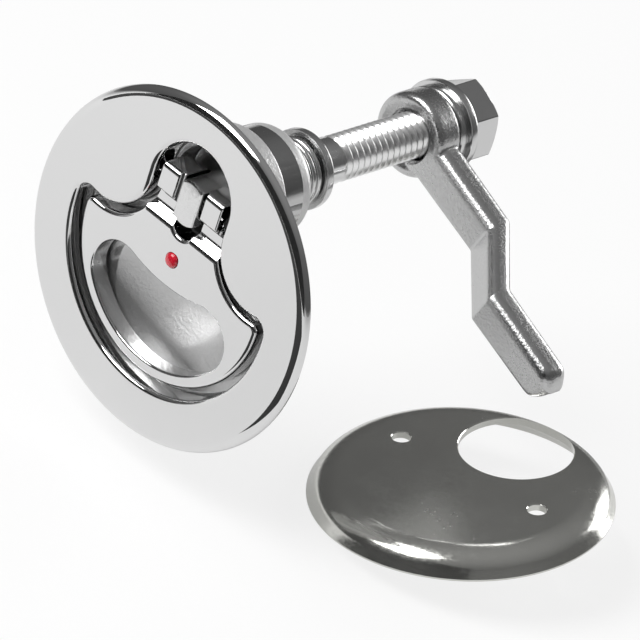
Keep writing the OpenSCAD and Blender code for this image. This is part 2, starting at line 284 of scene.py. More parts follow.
def turned(name: str, profile: Outline, centre: Sequence[float] = (0, 0, 0), steps: int = 128) -> Solid:
    """A closed turned solid about a line along +Y.

    Args:
        name: Object name.
        profile: Closed outline of (radius, depth).
        centre: A point on the axis.
        steps: Sides of the circle.

    Returns:
        The solid.
    """
    verts, n = [], len(profile)
    for k in range(steps):
        a = 2 * math.pi * k / steps
        verts += [(centre[0] + r * math.cos(a), centre[1] + y, centre[2] + r * math.sin(a)) for r, y in profile]
    faces = []
    for k in range(steps):
        for i in range(n):
            j, m = (i + 1) % n, (k + 1) % steps
            if profile[i][0] < 1e-6 and profile[j][0] < 1e-6:
                continue
            faces.append((k * n + i, m * n + i, m * n + j, k * n + j))
    return mesh_object(name, verts, faces)


def moved(obj: Solid, matrix: Matrix) -> Solid:
    """Moves and turns a solid's mesh, and cleans it.

    Args:
        obj: The solid.
        matrix: Where to.

    Returns:
        The solid.
    """
    obj.data.transform(matrix)
    clean(obj)
    return obj


def turned_x(name: str, r: float, half: float, at: Point2, edge: float = 0.0) -> Solid:
    """A round bar along X.

    Args:
        name: Object name.
        r: Radius.
        half: Half of its length.
        at: Its place in Y and Z.
        edge: Bevel at both ends.

    Returns:
        The bar.
    """
    rim = [(r, -half), (r, half)]
    if edge > 0:
        rim = [(r - edge, -half), (r, -half + edge), (r, half - edge), (r - edge, half)]
    obj = turned(name, [(0.0, -half)] + rim + [(0.0, half)], steps=64)
    return moved(obj, Matrix.Translation((0, at[0], at[1])) @ Matrix.Rotation(math.radians(90), 4, "Z"))


def lofted(name: str, rings: list[list[Sequence[float]]]) -> Solid:
    """A solid through rings of equally many points, capped at both ends.

    Args:
        name: Object name.
        rings: The rings in order.

    Returns:
        The solid.
    """
    n, last = len(rings[0]), len(rings) - 1
    faces: list[Sequence[int]] = [
        (k * n + i, k * n + (i + 1) % n, (k + 1) * n + (i + 1) % n, (k + 1) * n + i)
        for k in range(last)
        for i in range(n)
    ]
    faces += [tuple(range(n)), tuple(range(last * n, (last + 1) * n))]
    return mesh_object(name, [p for ring in rings for p in ring], faces)


def deep(name: str, layers: list[Point2], outline: Callable[[float], Outline]) -> Solid:
    """A solid along Y through an outline in X and Z that grows from layer to layer.

    Args:
        name: Object name.
        layers: Pairs of depth and growth.
        outline: Gives the outline for a growth.

    Returns:
        The solid.
    """
    return lofted(name, [[(x, y, z) for x, z in outline(g)] for y, g in layers])


def across(name: str, half_width: float, profile: Outline, edge: float) -> Solid:
    """A side profile in Y and Z drawn out along X, with rounded rims.

    Args:
        name: Object name.
        half_width: Half of its width.
        profile: Points of (y, z).
        edge: Rounding of the two rims, or 0.

    Returns:
        The solid.
    """
    obj = lofted(name, [[(s * half_width, y, z) for y, z in profile] for s in (-1, 1)])
    if edge > 0:
        bm = bmesh.new()
        bm.from_mesh(obj.data)
        rims = [e for e in bm.edges if abs(abs(e.verts[0].co.x) - half_width) < 1e-6
                and abs(e.verts[0].co.x - e.verts[1].co.x) < 1e-6]
        bmesh.ops.bevel(bm, geom=rims, offset=edge, segments=4, profile=0.5, affect="EDGES", clamp_overlap=True)
        bm.to_mesh(obj.data)
        bm.free()
        clean(obj)
    return obj


def washer(name: str, radii: Point2, span: Point2, soft: Sequence[float], steps: int) -> Solid:
    """A flat ring about the spindle with soft outer rims.

    Args:
        name: Object name.
        radii: Inner and outer radius.
        span: Start depth and thickness.
        soft: Where the rim starts, where it bends along the radius and the depth, and where it ends.
        steps: Sides of the circle.

    Returns:
        The ring.
    """
    (ri, ro), (y, t) = radii, span
    start, bend, rise, end = soft
    rim = [(ro - start, 0.0), (ro - bend, rise), (ro, end)]
    profile = [(ri, y)] + [(r, y + d) for r, d in rim] + [(r, y + t - d) for r, d in rim[::-1]]
    return turned(name, profile + [(ri, y + t)], AXIS, steps)


def split_ring(name: str, radii: Point2, span: Point2, angles: Point2, edge: float) -> Solid:
    """A split ring of nearly square section about the spindle.

    Args:
        name: Object name.
        radii: Inner and outer radius.
        span: Start depth and thickness.
        angles: First and last angle in degrees.
        edge: Bevel of the section.

    Returns:
        The ring.
    """
    (ri, ro), (y, t), (a, b) = radii, span, angles
    section = [(ri + edge, y), (ro - edge, y), (ro, y + edge), (ro, y + t - edge), (ro - edge, y + t),
               (ri + edge, y + t), (ri, y + t - edge), (ri, y + edge)]
    rings, steps = [], max(24, int(abs(b - a) / 4))
    for i in range(steps + 1):
        angle = math.radians(a + (b - a) * i / steps)
        rings.append([(r * math.cos(angle), d, SPINDLE_Z + r * math.sin(angle)) for r, d in section])
    return lofted(name, rings)


def apply_modifiers(obj: Solid) -> None:
    """Makes the evaluated mesh the object's own.

    Args:
        obj: The object.
    """
    graph = bpy.context.evaluated_depsgraph_get()
    graph.update()
    made = bpy.data.meshes.new_from_object(obj.evaluated_get(graph))
    old = obj.data
    obj.modifiers.clear()
    obj.data = made
    if old.users == 0:
        bpy.data.meshes.remove(old)


def combine(target: Solid, others: Iterable[Solid], how: Cut) -> Solid:
    """Joins or cuts a solid with others, which are used up.

    Args:
        target: The solid that stays.
        others: The solids to add or take away.
        how: The kind of boolean.

    Returns:
        The target.
    """
    for other in others:
        modifier = target.modifiers.new("combine", "BOOLEAN")
        modifier.operation, modifier.solver, modifier.object = how.value, "EXACT", other
        apply_modifiers(target)
        mesh = other.data
        bpy.data.objects.remove(other)
        bpy.data.meshes.remove(mesh)
    return target


def melt(obj: Solid, voxel: float, rounds: int) -> None:
    """Melts joined solids into one soft-edged casting.

    Args:
        obj: The solid, in millimetres.
        voxel: Grid size.
        rounds: Smoothing rounds.
    """
    grid = obj.modifiers.new("grid", "REMESH")
    grid.mode, grid.voxel_size = "VOXEL", voxel
    soft = obj.modifiers.new("soft", "SMOOTH")
    soft.factor, soft.iterations = 0.5, rounds
    apply_modifiers(obj)


def shade(obj: Solid, angle: float) -> None:
    """Smooth shading that keeps broad flats flat.

    Args:
        obj: The piece.
        angle: Edges sharper than this, in degrees, stay sharp.
    """
    obj.data.shade_smooth()
    obj.data.set_sharp_from_angle(angle=math.radians(angle))
    weigh = obj.modifiers.new("weigh", "WEIGHTED_NORMAL")
    weigh.mode, weigh.weight, weigh.keep_sharp = "FACE_AREA", 50, True
    apply_modifiers(obj)


# Finishes


class Nodes:
    """Short hand for building a node tree."""

    def __init__(self, tree: bpy.types.NodeTree) -> None:
        """Takes the tree to build in."""
        self.tree = tree

    @classmethod
    def of(cls, owner: Material | bpy.types.World) -> "Nodes":
        """Empties the node tree of a material or a world.

        Args:
            owner: The material or world.

        Returns:
            The short hand for its tree.
        """
        owner.use_nodes = True
        owner.node_tree.nodes.clear()
        return cls(owner.node_tree)

    def numbers(self, sizes: Mapping[str, float]) -> None:
        """Gives a group its number inputs.

        Args:
            sizes: Their names and first values.
        """
        for name, value in sizes.items():
            socket = self.tree.interface.new_socket(name, in_out="INPUT", socket_type="NodeSocketFloat")
            socket.default_value = value

    def add(self, kind: str, **values: object) -> bpy.types.Node:
        """A new node.

        Args:
            kind: Its type.
            **values: Its attributes, where in_NAME or in_0 is an input: a socket is linked, a value is set.

        Returns:
            The node.
        """
        node = self.tree.nodes.new(kind)
        for key, value in values.items():
            if not key.startswith("in_"):
                setattr(node, key, value)
                continue
            name = key[3:]
            socket = node.inputs[int(name)] if name.isdigit() else node.inputs[name.replace("_", " ")]
            if isinstance(value, Socket):
                self.tree.links.new(value, socket)
            else:
                socket.default_value = value
        return node

    def math(self, operation: str, a: object, b: object = 0.0) -> Socket:
        """The output of a Math node on sockets or numbers."""
        return self.add("ShaderNodeMath", operation=operation, in_0=a, in_1=b).outputs[0]

    def times(self, *values: object) -> Socket:
        """The product of sockets or numbers."""
        return reduce(lambda a, b: self.math("MULTIPLY", a, b), values)


def worn_metal_group() -> bpy.types.NodeTree:
    """The shared group for worn metal: colour, roughness and height from smudges, hairlines and grain.

    Returns:
        The group.
    """
    tree = bpy.data.node_groups.new("worn_metal", "ShaderNodeTree")
    tree.interface.new_socket("Coordinate", in_out="INPUT", socket_type="NodeSocketVector")
    n = Nodes(tree)
    n.numbers({"Tone": 0.8, "Warmth": 0.0, "Roughness": 0.1, "Smudge": 0.2, "Hairlines": 0.1, "Grain": 0.1,
               "Grain scale": 900.0, "Hairline stretch": 1.0})
    for name, kind in (("Color", "Color"), ("Roughness", "Float"), ("Height", "Float")):
        tree.interface.new_socket(name, in_out="OUTPUT", socket_type=f"NodeSocket{kind}")
    got = n.add("NodeGroupInput").outputs
    smudge = n.add("ShaderNodeTexNoise", in_Vector=got["Coordinate"], in_Scale=70.0, in_Detail=4.0,
                   in_Roughness=0.6)
    scale = n.add("ShaderNodeCombineXYZ", in_X=1.0, in_Y=got["Hairline stretch"], in_Z=1.0)
    stretch = n.add("ShaderNodeMapping", in_Vector=got["Coordinate"], in_Scale=scale.outputs[0])
    hair = n.add("ShaderNodeTexNoise", in_Vector=stretch.outputs[0], in_Scale=1500.0, in_Detail=2.0)
    grain = n.add("ShaderNodeTexNoise", in_Vector=got["Coordinate"], in_Scale=got["Grain scale"],
                  in_Detail=3.0, in_Roughness=0.55)
    smudges, hairs, grains = (n.math("SUBTRACT", noise.outputs["Fac"], 0.5) for noise in (smudge, hair, grain))
    rough = n.math("ADD", got["Roughness"], n.times(smudges, got["Smudge"], 0.5))
    rough = n.math("ADD", rough, n.times(hairs, got["Hairlines"], 0.5))
    tone = n.math("ADD", got["Tone"], n.times(smudges, got["Smudge"], 0.12))
    tone = n.math("ADD", tone, n.times(grains, got["Grain"], 0.1))
    blue = n.math("SUBTRACT", tone, got["Warmth"])
    colour = n.add("ShaderNodeCombineColor", in_0=tone, in_1=tone, in_2=blue)
    height = n.math("ADD", n.times(hairs, got["Hairlines"]), n.times(grains, got["Grain"]))
    n.add("NodeGroupOutput", in_Color=colour.outputs[0], in_Roughness=n.math("MAXIMUM", rough, 0.02),
          in_Height=height)
    return tree


@dataclass(frozen=True)
class Steel:
    """A stainless steel finish."""

    name: str
    tone: float
    roughness: float
    smudge: float
    hairlines: float
    grain: float
    grain_scale: float
    bump_mm: float
    warmth: float = 0.0
    stretch: float = 1.0
    metallic: float = 1.0

    def make(self, group: bpy.types.NodeTree) -> Material:
        """The material, with the shared group inside.

        Args:
            group: The worn metal group.

        Returns:
            The new material.
        """
        material = bpy.data.materials.new(self.name)
        n = Nodes.of(material)
        place = n.add("ShaderNodeTexCoord")
        worn = n.add(
            "ShaderNodeGroup", node_tree=group, in_Coordinate=place.outputs["Object"], in_Tone=self.tone,
            in_Warmth=self.warmth, in_Roughness=self.roughness, in_Smudge=self.smudge,
            in_Hairlines=self.hairlines, in_Grain=self.grain, in_Grain_scale=self.grain_scale,
            in_Hairline_stretch=self.stretch).outputs
        bump = n.add("ShaderNodeBump", in_Strength=1.0, in_Distance=self.bump_mm * MM, in_Height=worn["Height"])
        shader = n.add("ShaderNodeBsdfPrincipled", in_Metallic=self.metallic, in_Base_Color=worn["Color"],
                       in_Roughness=worn["Roughness"], in_Normal=bump.outputs["Normal"])
        n.add("ShaderNodeOutputMaterial", in_Surface=shader.outputs["BSDF"])
        material.diffuse_color = (self.tone, self.tone, self.tone - self.warmth, 1.0)
        return material


@dataclass(frozen=True)
class Enamel:
    """The glossy red of the marker, a little darker in small clouds."""

    name: str
    colour: Point3
    darkest: float = 0.75

    def make(self) -> Material:
        """The material.

        Returns:
            The new material.
        """
        material = bpy.data.materials.new(self.name)
        n = Nodes.of(material)
        place = n.add("ShaderNodeTexCoord")
        noise = n.add("ShaderNodeTexNoise", in_Vector=place.outputs["Object"], in_Scale=900.0, in_Detail=2.0)
        ramp = n.add("ShaderNodeValToRGB", in_Fac=noise.outputs["Fac"])
        for stop, at, share in zip(ramp.color_ramp.elements, (0.35, 0.65), (self.darkest, 1.0)):
            stop.position, stop.color = at, (*(c * share for c in self.colour), 1.0)
        shader = n.add("ShaderNodeBsdfPrincipled", in_Roughness=0.18, in_Coat_Weight=0.6,
                       in_Base_Color=ramp.outputs["Color"])
        n.add("ShaderNodeOutputMaterial", in_Surface=shader.outputs["BSDF"])
        return material


class Finishes:
    """Every material of the latch."""

    def __init__(self) -> None:
        """Builds the shared group and the materials."""
        g = worn_metal_group()
        self.mirror = Steel("mirror_steel", 0.69, 0.04, 0.06, 0.03, 0.0, 900, 0.001).make(g)
        self.satin = Steel("satin_recess_steel", 0.6, 0.34, 0.15, 0.35, 1.0, 1700, 0.06, metallic=0.9).make(g)
        self.cast = Steel("pebbled_cast_steel", 0.72, 0.42, 0.25, 0.2, 1.0, 1500, 0.09, metallic=0.6).make(g)
        self.tumbled = Steel("tumbled_arm_steel", 0.5, 0.25, 0.3, 0.3, 1.0, 1700, 0.06).make(g)
        self.turned = Steel("turned_steel", 0.70, 0.16, 0.2, 0.5, 0.1, 900, 0.004, stretch=0.08).make(g)
        self.thread = Steel("thread_steel", 0.88, 0.24, 0.15, 0.2, 0.1, 900, 0.003, metallic=0.85).make(g)
        self.nut = Steel("nut_steel", 0.6, 0.11, 0.25, 0.2, 0.1, 900, 0.003).make(g)
        self.wire = Steel("spring_wire_steel", 0.66, 0.2, 0.2, 0.2, 0.2, 900, 0.004).make(g)
        self.washer = Steel("washer_steel", 0.62, 0.2, 0.25, 0.3, 0.3, 900, 0.006).make(g)
        self.sheet = Steel("buffed_sheet_steel", 0.6, 0.17, 0.5, 0.6, 0.35, 1400, 0.006, warmth=0.03,
                           metallic=0.93).make(g)
        self.machined = Steel("machined_boss_steel", 0.5, 0.12, 0.2, 0.5, 0.1, 900, 0.004, stretch=0.08).make(g)
        self.enamel = Enamel("red_enamel", (0.62, 0.01, 0.03)).make()


def dress(
    obj: Solid, body: Body, material: Material, node: str, angle: float = 35,
    rule: Callable[[bpy.types.MeshPolygon], Material] | None = None,
    stretch: tuple[Body, float, float] | None = None,
) -> None:
    """Finishes a piece made in millimetres and gives it to its body, or with stretch only bakes its place into
    the mesh.

    Args:
        obj: The piece.
        body: The body it rides on.
        material: Its main material.
        node: The CAD node it stands for.
        angle: Edges sharper than this stay sharp.
        rule: Picks another material for a face, with the face in millimetres.
        stretch: When given, the piece is left off its body with its place baked in; the body and depths in it
            are not used.
    """
    materials = obj.data.materials
    materials.clear()
    materials.append(material)
    if rule:
        for face in obj.data.polygons:
            chosen = rule(face)
            if chosen.name not in [m.name for m in materials]:
                materials.append(chosen)
            face.material_index = [m.name for m in materials].index(chosen.name)
    obj.data.transform(Matrix.Scale(MM, 4))
    shade(obj, angle)
    if stretch:
        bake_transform(obj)
    else:
        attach(obj, body.value)
    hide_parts(node)
    LOG.info("%s: %d faces on %s", obj.name, len(obj.data.polygons), body.value)


# Sub-assemblies


@dataclass
class Housing:
    """The round face plate with its winged recess, finger dish, spigot and spindle boss."""

    finishes: Finishes
    face_r: float = 38.0
    face_t: float = 2.0
    rim_w: float = 2.2
    lobe_r: float = 10.5
    lobe_z: float = 18.8
    mouth_r: float = 1.1
    ledge_y: float = 4.2
    ledge_round: float = 0.5
    dish_r: float = 40.0
    dish_y: float = 7.8
    dish_z: float = -9.4
    pocket_r: float = 10.0
    pocket_z: float = 8.0
    pocket_y: float = 9.5
    pocket_corner: float = 3.0
    spigot_r: float = 31.0
    spigot_wall: float = 2.6
    pan_wall: float = 1.8
    spigot_y: float = 6.0
    head_r: float = 14.0
    head_y: float = 12.6
    head_round: float = 0.8
    boss_r: float = 11.8
    boss_y: float = 23.0
    boss_round: float = 2.0
    machined_y: float = 19.6
    bore_r: float = 5.08
    bevel: float = 0.4
    screw: Point2 = (18.9, 2.0)
    screw_boss: Point2 = (4.0, 12.0)
    tap: Point2 = (1.65, 5.0)
    wing: Wing = field(default_factory=lambda: Wing(10.5, 11.0, 15.4, 3.0, 27.4, 0.6))

    def outline(self, g: float) -> Outline:
        """The recess outline, grown by g."""
        return mirrored(arc((0, self.lobe_z), self.lobe_r + g, 90, 0, 36) + self.wing.half(g))

    def pocket(self, g: float) -> Outline:
        """The deep pocket's outline.

        Args:
            g: How much it is grown.

        Returns:
            The outline.
        """
        foot, side = self.pocket_corner, arc((0, SPINDLE_Z + 1), self.pocket_r + g, 90, 0, 36)
        corner = arc((self.pocket_r - foot, self.pocket_z + foot), foot + g, 0, -90, 12)
        return mirrored(side + corner + [(0, self.pocket_z - g)])

    def pair(self, name: str, profile: Outline) -> list[Solid]:
        """The same turned solid at both screw places."""
        return [turned(f"{name}_{s}", profile, (s * self.screw[0], 0, self.screw[1]), 48) for s in (-1, 1)]

    def plate(self) -> Solid:
        """The face plate with its domed rim and the round spigot behind it.

        Returns:
            The solid.
        """
        inner, outer, end, edge = self.spigot_r - self.spigot_wall, self.spigot_r, self.spigot_y, self.bevel
        profile = [(0.0, 0.0), (inner, 0.0), (inner, end - edge), (inner + edge, end), (outer - edge, end),
                   (outer, end - edge), (outer, 0.0), (self.face_r - 0.15, 0.0), (self.face_r, -0.12)]
        profile += oval((self.face_r - self.rim_w, 0.0), self.rim_w, -self.face_t, 6, 90, 14)
        return turned("latch_housing", profile + [(0.0, -self.face_t)], steps=256)

    def back(self) -> list[Solid]:
        """The solids behind the face plate: pan, bowl, stem and screw bosses.

        Returns:
            The solids.
        """
        wall, end, rim = self.pan_wall, self.spigot_y, self.spigot_r - 1
        pan = deep("pan", [(-1, wall), (end - 0.5, wall), (end - 0.15, wall - 0.15), (end, wall - 0.5)],
                   self.outline)
        combine(pan, [turned("limit", [(0, -2), (rim, -2), (rim, 12), (0, 12)])], Cut.COMMON)
        dome = arc((0, self.dish_y - self.dish_r), self.dish_r + wall, 65, 90, 25)
        bowl = turned("bowl", [(0.0, 0.0)] + dome, (0, 0, self.dish_z))
        r, h = self.boss_round, self.head_round
        stem = [(0.0, -0.5), (self.head_r, -0.5)] + arc((self.head_r - h, self.head_y - h), h, 0, 90, 5)
        boss, foot = self.boss_r, 0.6
        stem += [(boss + foot, self.head_y), (boss, self.head_y + foot), (boss, self.machined_y)]
        stem += arc((boss - r, self.boss_y - r), r, 0, 90, 8) + [(0.0, self.boss_y)]
        (br, by), edge = self.screw_boss, self.bevel
        bosses = self.pair("screw_boss", [(0.0, 0.0), (br, 0.0), (br, by - edge), (br - edge, by), (0.0, by)])
        return [pan, bowl, turned("stem", stem, AXIS)] + bosses

    def hollows(self) -> list[Solid]:
        """The solids that cut the recess, the dish, the pocket, the bore and the tapped holes.

        Returns:
            The solids.
        """
        mouth = eased(-self.face_t, self.mouth_r, 1, 10)
        toe = eased(self.ledge_y, self.ledge_round, -1, 5, back=True)
        recess = deep("recess", [(-self.face_t - 1, self.mouth_r)] + mouth + toe, self.outline)
        curve = [(self.dish_r * math.sin(t), self.dish_y - self.dish_r * (1 - math.cos(t)))
                 for t in map(math.radians, (27, 25.5, *range(24, -1, -2)))]
        dish = turned("dish", [(0.0, self.ledge_y - 1)] + [p for p in curve if p[1] > self.ledge_y - 0.9],
                      (0, 0, self.dish_z), 160)
        floor = self.pocket_y
        pocket = deep("pocket", [(0, 0), (floor - 0.6, 0), (floor - 0.2, -0.2), (floor, -0.6)], self.pocket)
        bore = turned("bore", drilled(self.bore_r, 0, self.boss_y, (0.6, 0.5, 0.1), 1), AXIS)
        top, (r, depth) = self.screw_boss[1], self.tap
        taps = self.pair("tap", drilled(r, top - depth, top, (self.bevel, 0.3, 0.1), 1))
        return [recess, dish, pocket, bore] + taps

    def finish_of(self, face: bpy.types.MeshPolygon) -> Material:
        """Mirror polish in front, satin on the floors of the recess and a pebbled casting behind.

        Args:
            face: A face of the housing, in millimetres.

        Returns:
            Its material.
        """
        f, n, (x, y, z) = self.finishes, face.normal, face.center
        from_centre, from_spindle = math.hypot(x, z), math.hypot(x, z - SPINDLE_Z)
        if y < 0.05 and from_centre > self.spigot_r:
            return f.mirror
        if abs(from_spindle - self.boss_r) < 0.3 and self.head_y + 0.5 < y < self.machined_y:
            return f.machined
        in_recess = n.x * x + n.z * (z - 4) < 0 or n.y < -0.5
        within = from_centre < self.spigot_r - self.spigot_wall + 0.5
        if y < self.ledge_y - 0.55 and in_recess and (within or y < 0):
            return f.mirror
        if n.y < -0.25 or (from_spindle < self.pocket_r + 0.3 and y < self.pocket_y):
            return f.satin
        return f.cast

    def build(self) -> None:
        """Makes the housing."""
        obj = self.plate()
        combine(obj, self.back(), Cut.ADD)
        combine(obj, self.hollows(), Cut.TAKE)
        dress(obj, Body.HOUSING, self.finishes.mirror, "face_housing", rule=self.finish_of)


@dataclass
class Handle:
    """The lift handle with its finger opening, cam ears, groove, red marker and pivot pin."""

    finishes: Finishes
    front: float = -1.0
    back: float = 3.6
    round_front: float = 1.0
    round_back: float = 0.5
    grip_outer: float = 22.4
    grip_end: Point2 = (12.0, 7.0)
    grip_top: float = -3.8
    grip_round: float = 0.6
    pan_z: float = 0.6
    pivot_y: float = 2.0
    ear_x: float = 8.7
    ear_front: float = -3.9
    slot_x: float = 3.2
    slot_round: float = 0.9
    pin_r: float = 2.0
    pin_half: float = 8.5
    cam_high: float = 7.38
    cam_travel: float = 2.5
    marker: Point2 = (1.6, 2.4)
    marker_dome: float = 0.95
    wing: Wing = field(default_factory=lambda: Wing(9.4, 12.2, 14.4, 1.9, 25.2, 0.6))

    def outline(self, g: float) -> Outline:
        """The plate's outline, grown by g."""
        return mirrored([(self.wing.neck + g, SPINDLE_Z - 1)] + self.wing.half(g), True)

    def grip(self, g: float) -> Outline:
        """The finger opening's outline.

        Args:
            g: How much it is grown.

        Returns:
            A hollow upper edge, two round ends and a round lower edge.
        """
        ex, er = self.grip_end
        p = (0.0, self.pan_z)
        e = (ex, self.pan_z - math.sqrt((self.grip_outer - er) ** 2 - ex**2))
        drop = self.grip_top - e[1]
        hollow = (ex**2 + drop**2 - er**2) / (2 * (er - drop))
        q = (0.0, self.grip_top + hollow)
        return mirrored(arc(q, hollow - g, -90, heading(q, e), 20, True)
                        + arc(e, er + g, heading(e, q), heading(p, e), 40, True)
                        + arc(p, self.grip_outer + g, heading(p, e), -90, 36))

    def slot(self, g: float) -> Outline:
        """The slot round the spindle's tongue, grown by g."""
        wide, foot = self.slot_x + g, SPINDLE_Z - 5.3
        return mirrored([(wide, SPINDLE_Z + 9)] + arc((0, foot), wide, 0, -90, 18), True)

    def at_pivot(self, shape: Outline) -> Outline:
        """Moves points of (y, z) from the pivot to their place."""
        return [(self.pivot_y + y, SPINDLE_Z + z) for y, z in shape]

    def ears(self) -> Solid:
        """The block that becomes the two ears, with the cam behind and a flat front.

        Returns:
            The block.
        """
        slope = self.cam_travel / (math.pi / 2)

        def cam(t: float) -> Point2:
            """A point of the cam for a lift of t degrees."""
            reach, a = self.cam_high - self.cam_travel * t / 90, math.radians(t)
            return (reach * math.cos(a) + slope * math.sin(a), reach * math.sin(a) - slope * math.cos(a))

        top, front = self.cam_high - self.cam_travel, self.ear_front
        shape = [cam(3 * i) for i in range(31)]
        shape += arc((front + 1.1, top - 1.1), 1.1, 90, 180, 8)
        shape += arc((front + 0.5, -0.7), 0.5, 180, 245, 5)
        shape += [(-0.9, -3.0), (-0.9, -5.6), (-2.6, -7.0), (-2.6, -8.4), (1.6, -7.4),
                  (self.cam_high - 1.6, -3.6), (self.cam_high, -2.4)]
        return across("ears", self.ear_x, self.at_pivot(shape), 0.35)

    def groove(self) -> Solid:
        """The groove across the neck, with soft shoulders.

        Returns:
            The cutter.
        """
        lip = oval((-1.5, -8.3), -1.5, 1.5, 0, 42, 6)
        floor = [(-1.5, -6.15), (-1.1, -5.85), (-0.95, -5.55), (-0.9, -5.2), (-0.9, -3.6), (-0.98, -3.2),
                 (-1.2, -2.85)]
        shape = [(-6.0, -8.3)] + lip + floor + [(-3.6, -1.25), (-6.0, -0.4)]
        return across("groove", 14.0, self.at_pivot(shape), 0)

    def cuts(self) -> list[Solid]:
        """The solids that cut the groove, the finger opening, the slot, the pivot bore and the marker's seat.

        Returns:
            The solids.
        """
        f, b, edge, top = self.front, self.back, self.grip_round, self.slot_round
        grip = [(f - 1, edge)] + eased(f, edge, 1, 6) + eased(b, edge, 1, 6, back=True) + [(b + 1, edge)]
        slot = [(f - 3, top)] + eased(f, top, 1, 6) + [(14.0, 0.0)]
        bore = turned_x("pin_hole", self.pin_r + 0.08, 12, (self.pivot_y, SPINDLE_Z))
        wide, close = self.marker[0] + 0.15, self.marker[0] + 0.03
        seat = [(0, f - 1), (wide, f - 1), (wide, f), (close, f + 0.12), (close, f + 1), (0, f + 1)]
        return [self.groove(), deep("grip", grip, self.grip), deep("slot", slot, self.slot), bore,
                turned("marker_seat", seat, (0, 0, self.marker[1]), 48)]

    def build(self) -> None:
        """Makes the handle, its marker and its pin."""
        f, r, dome = self.front, self.marker[0], self.marker_dome
        layers = eased(f, self.round_front, -1, 6) + eased(self.back, self.round_back, -1, 6, back=True)
        obj = deep("lift_handle", layers, self.outline)
        combine(obj, [self.ears()], Cut.ADD)
        combine(obj, self.cuts(), Cut.TAKE)
        dress(obj, Body.HANDLE, self.finishes.mirror, "handle")
        profile = [(0.0, f + 0.95), (r - 0.05, f + 0.95), (r, f + 0.9)] + oval((0.0, f), r, -dome, 0, 90, 15)
        bead = turned("red_bead", profile, (0, 0, self.marker[1]), 48)
        dress(bead, Body.HANDLE, self.finishes.enamel, "red_marker", angle=60)
        pin = turned_x("hinge_pin", self.pin_r, self.pin_half, (self.pivot_y, SPINDLE_Z), 0.3)
        dress(pin, Body.SPINDLE, self.finishes.turned, "pivot_pin")


class CoilTree:
    """A Geometry Nodes tree that winds a closed section round the spindle: the spring's wire or the thread."""

    SIZES: dict[str, float] = {"Radius": 6.0, "Start": 23.0, "Length": 7.0, "Turns": 4.0, "Section": 0.6,
                               "Fade turns": 0.0, "Axis height": SPINDLE_Z}

    def __init__(self, name: str, sides: int, steps: int, fillet: float) -> None:
        """Builds the tree.

        Args:
            name: Tree name.
            sides: Sides of the section, 4 for a ridge.
            steps: Steps in a turn.
            fillet: Rounding of the section's corners in millimetres.
        """
        self.tree = bpy.data.node_groups.new(name, "GeometryNodeTree")
        face, n = self.tree.interface, Nodes(self.tree)
        face.new_socket("Geometry", in_out="OUTPUT", socket_type="NodeSocketGeometry")
        n.numbers(self.SIZES)
        face.new_socket("Finish", in_out="INPUT", socket_type="NodeSocketMaterial")
        size = n.add("NodeGroupInput").outputs
        line = n.add("GeometryNodeCurvePrimitiveLine")
        points = n.add("GeometryNodeResampleCurve", in_Curve=line.outputs["Curve"],
                       in_Count=n.times(size["Turns"], float(steps)))
        share = n.add("GeometryNodeSplineParameter").outputs["Factor"]
        turn = n.times(share, size["Turns"])
        angle = n.times(turn, 2 * math.pi)
        spot = n.add("ShaderNodeCombineXYZ", in_X=n.times(size["Radius"], n.math("COSINE", angle)),
                     in_Y=n.times(size["Radius"], n.math("SINE", angle)), in_Z=n.times(share, size["Length"]))
        helix = n.add("GeometryNodeSetPosition", in_Geometry=points.outputs["Curve"],
                      in_Position=spot.outputs[0])
        upright = n.add("GeometryNodeSetCurveNormal", mode="Z_UP", in_Curve=helix.outputs["Geometry"])
        left = n.math("SUBTRACT", size["Turns"], turn)
        fade = n.math("DIVIDE", n.math("MINIMUM", turn, left), n.math("MAXIMUM", size["Fade turns"], 1e-4))
        thick = n.math("ADD", n.times(n.math("MINIMUM", fade, 1.0), 0.8), 0.2)
        swell = n.add("GeometryNodeSetCurveRadius", in_Curve=upright.outputs["Curve"], in_Radius=thick)
        section = n.add("GeometryNodeCurvePrimitiveCircle", in_Resolution=sides, in_Radius=size["Section"])
        if fillet > 0:
            section = n.add("GeometryNodeFilletCurve", mode="POLY", in_Curve=section.outputs["Curve"],
                            in_Radius=fillet, in_Count=3)
        sweep = n.add("GeometryNodeCurveToMesh", in_Fill_Caps=True, in_Curve=swell.outputs["Curve"],
                      in_Profile_Curve=section.outputs["Curve"])
        if "Scale" in sweep.inputs:
            self.tree.links.new(n.add("GeometryNodeInputRadius").outputs[0], sweep.inputs["Scale"])
        place = n.add("ShaderNodeCombineXYZ", in_Y=size["Start"], in_Z=size["Axis height"])
        lie = n.add("GeometryNodeTransform", in_Geometry=sweep.outputs["Mesh"], in_Translation=place.outputs[0],
                    in_Rotation=(math.radians(-90), 0, 0))
        real = n.add("GeometryNodeRealizeInstances", in_Geometry=lie.outputs["Geometry"])
        coat = n.add("GeometryNodeSetMaterial", in_Geometry=real.outputs["Geometry"],
                     in_Material=size["Finish"])
        n.add("NodeGroupOutput", in_Geometry=coat.outputs["Geometry"])

    def wind(self, name: str, finish: Material, **sizes: float) -> Solid:
        """Makes a plain mesh from the tree.

        Args:
            name: Object name.
            finish: Its material.
            **sizes: Values for the named inputs, with _ for a space.

        Returns:
            The object, in millimetres.
        """
        obj = linked(name, bpy.data.meshes.new(name))
        modifier = obj.modifiers.new("coil", "NODES")
        modifier.node_group = self.tree
        keys = {i.name: i.identifier for i in self.tree.interface.items_tree if i.in_out == "INPUT"}
        for key, value in sizes.items():
            modifier[keys[key.replace("_", " ").capitalize()]] = float(value)
        modifier[keys["Finish"]] = finish
        apply_modifiers(obj)
        clean(obj)
        return obj


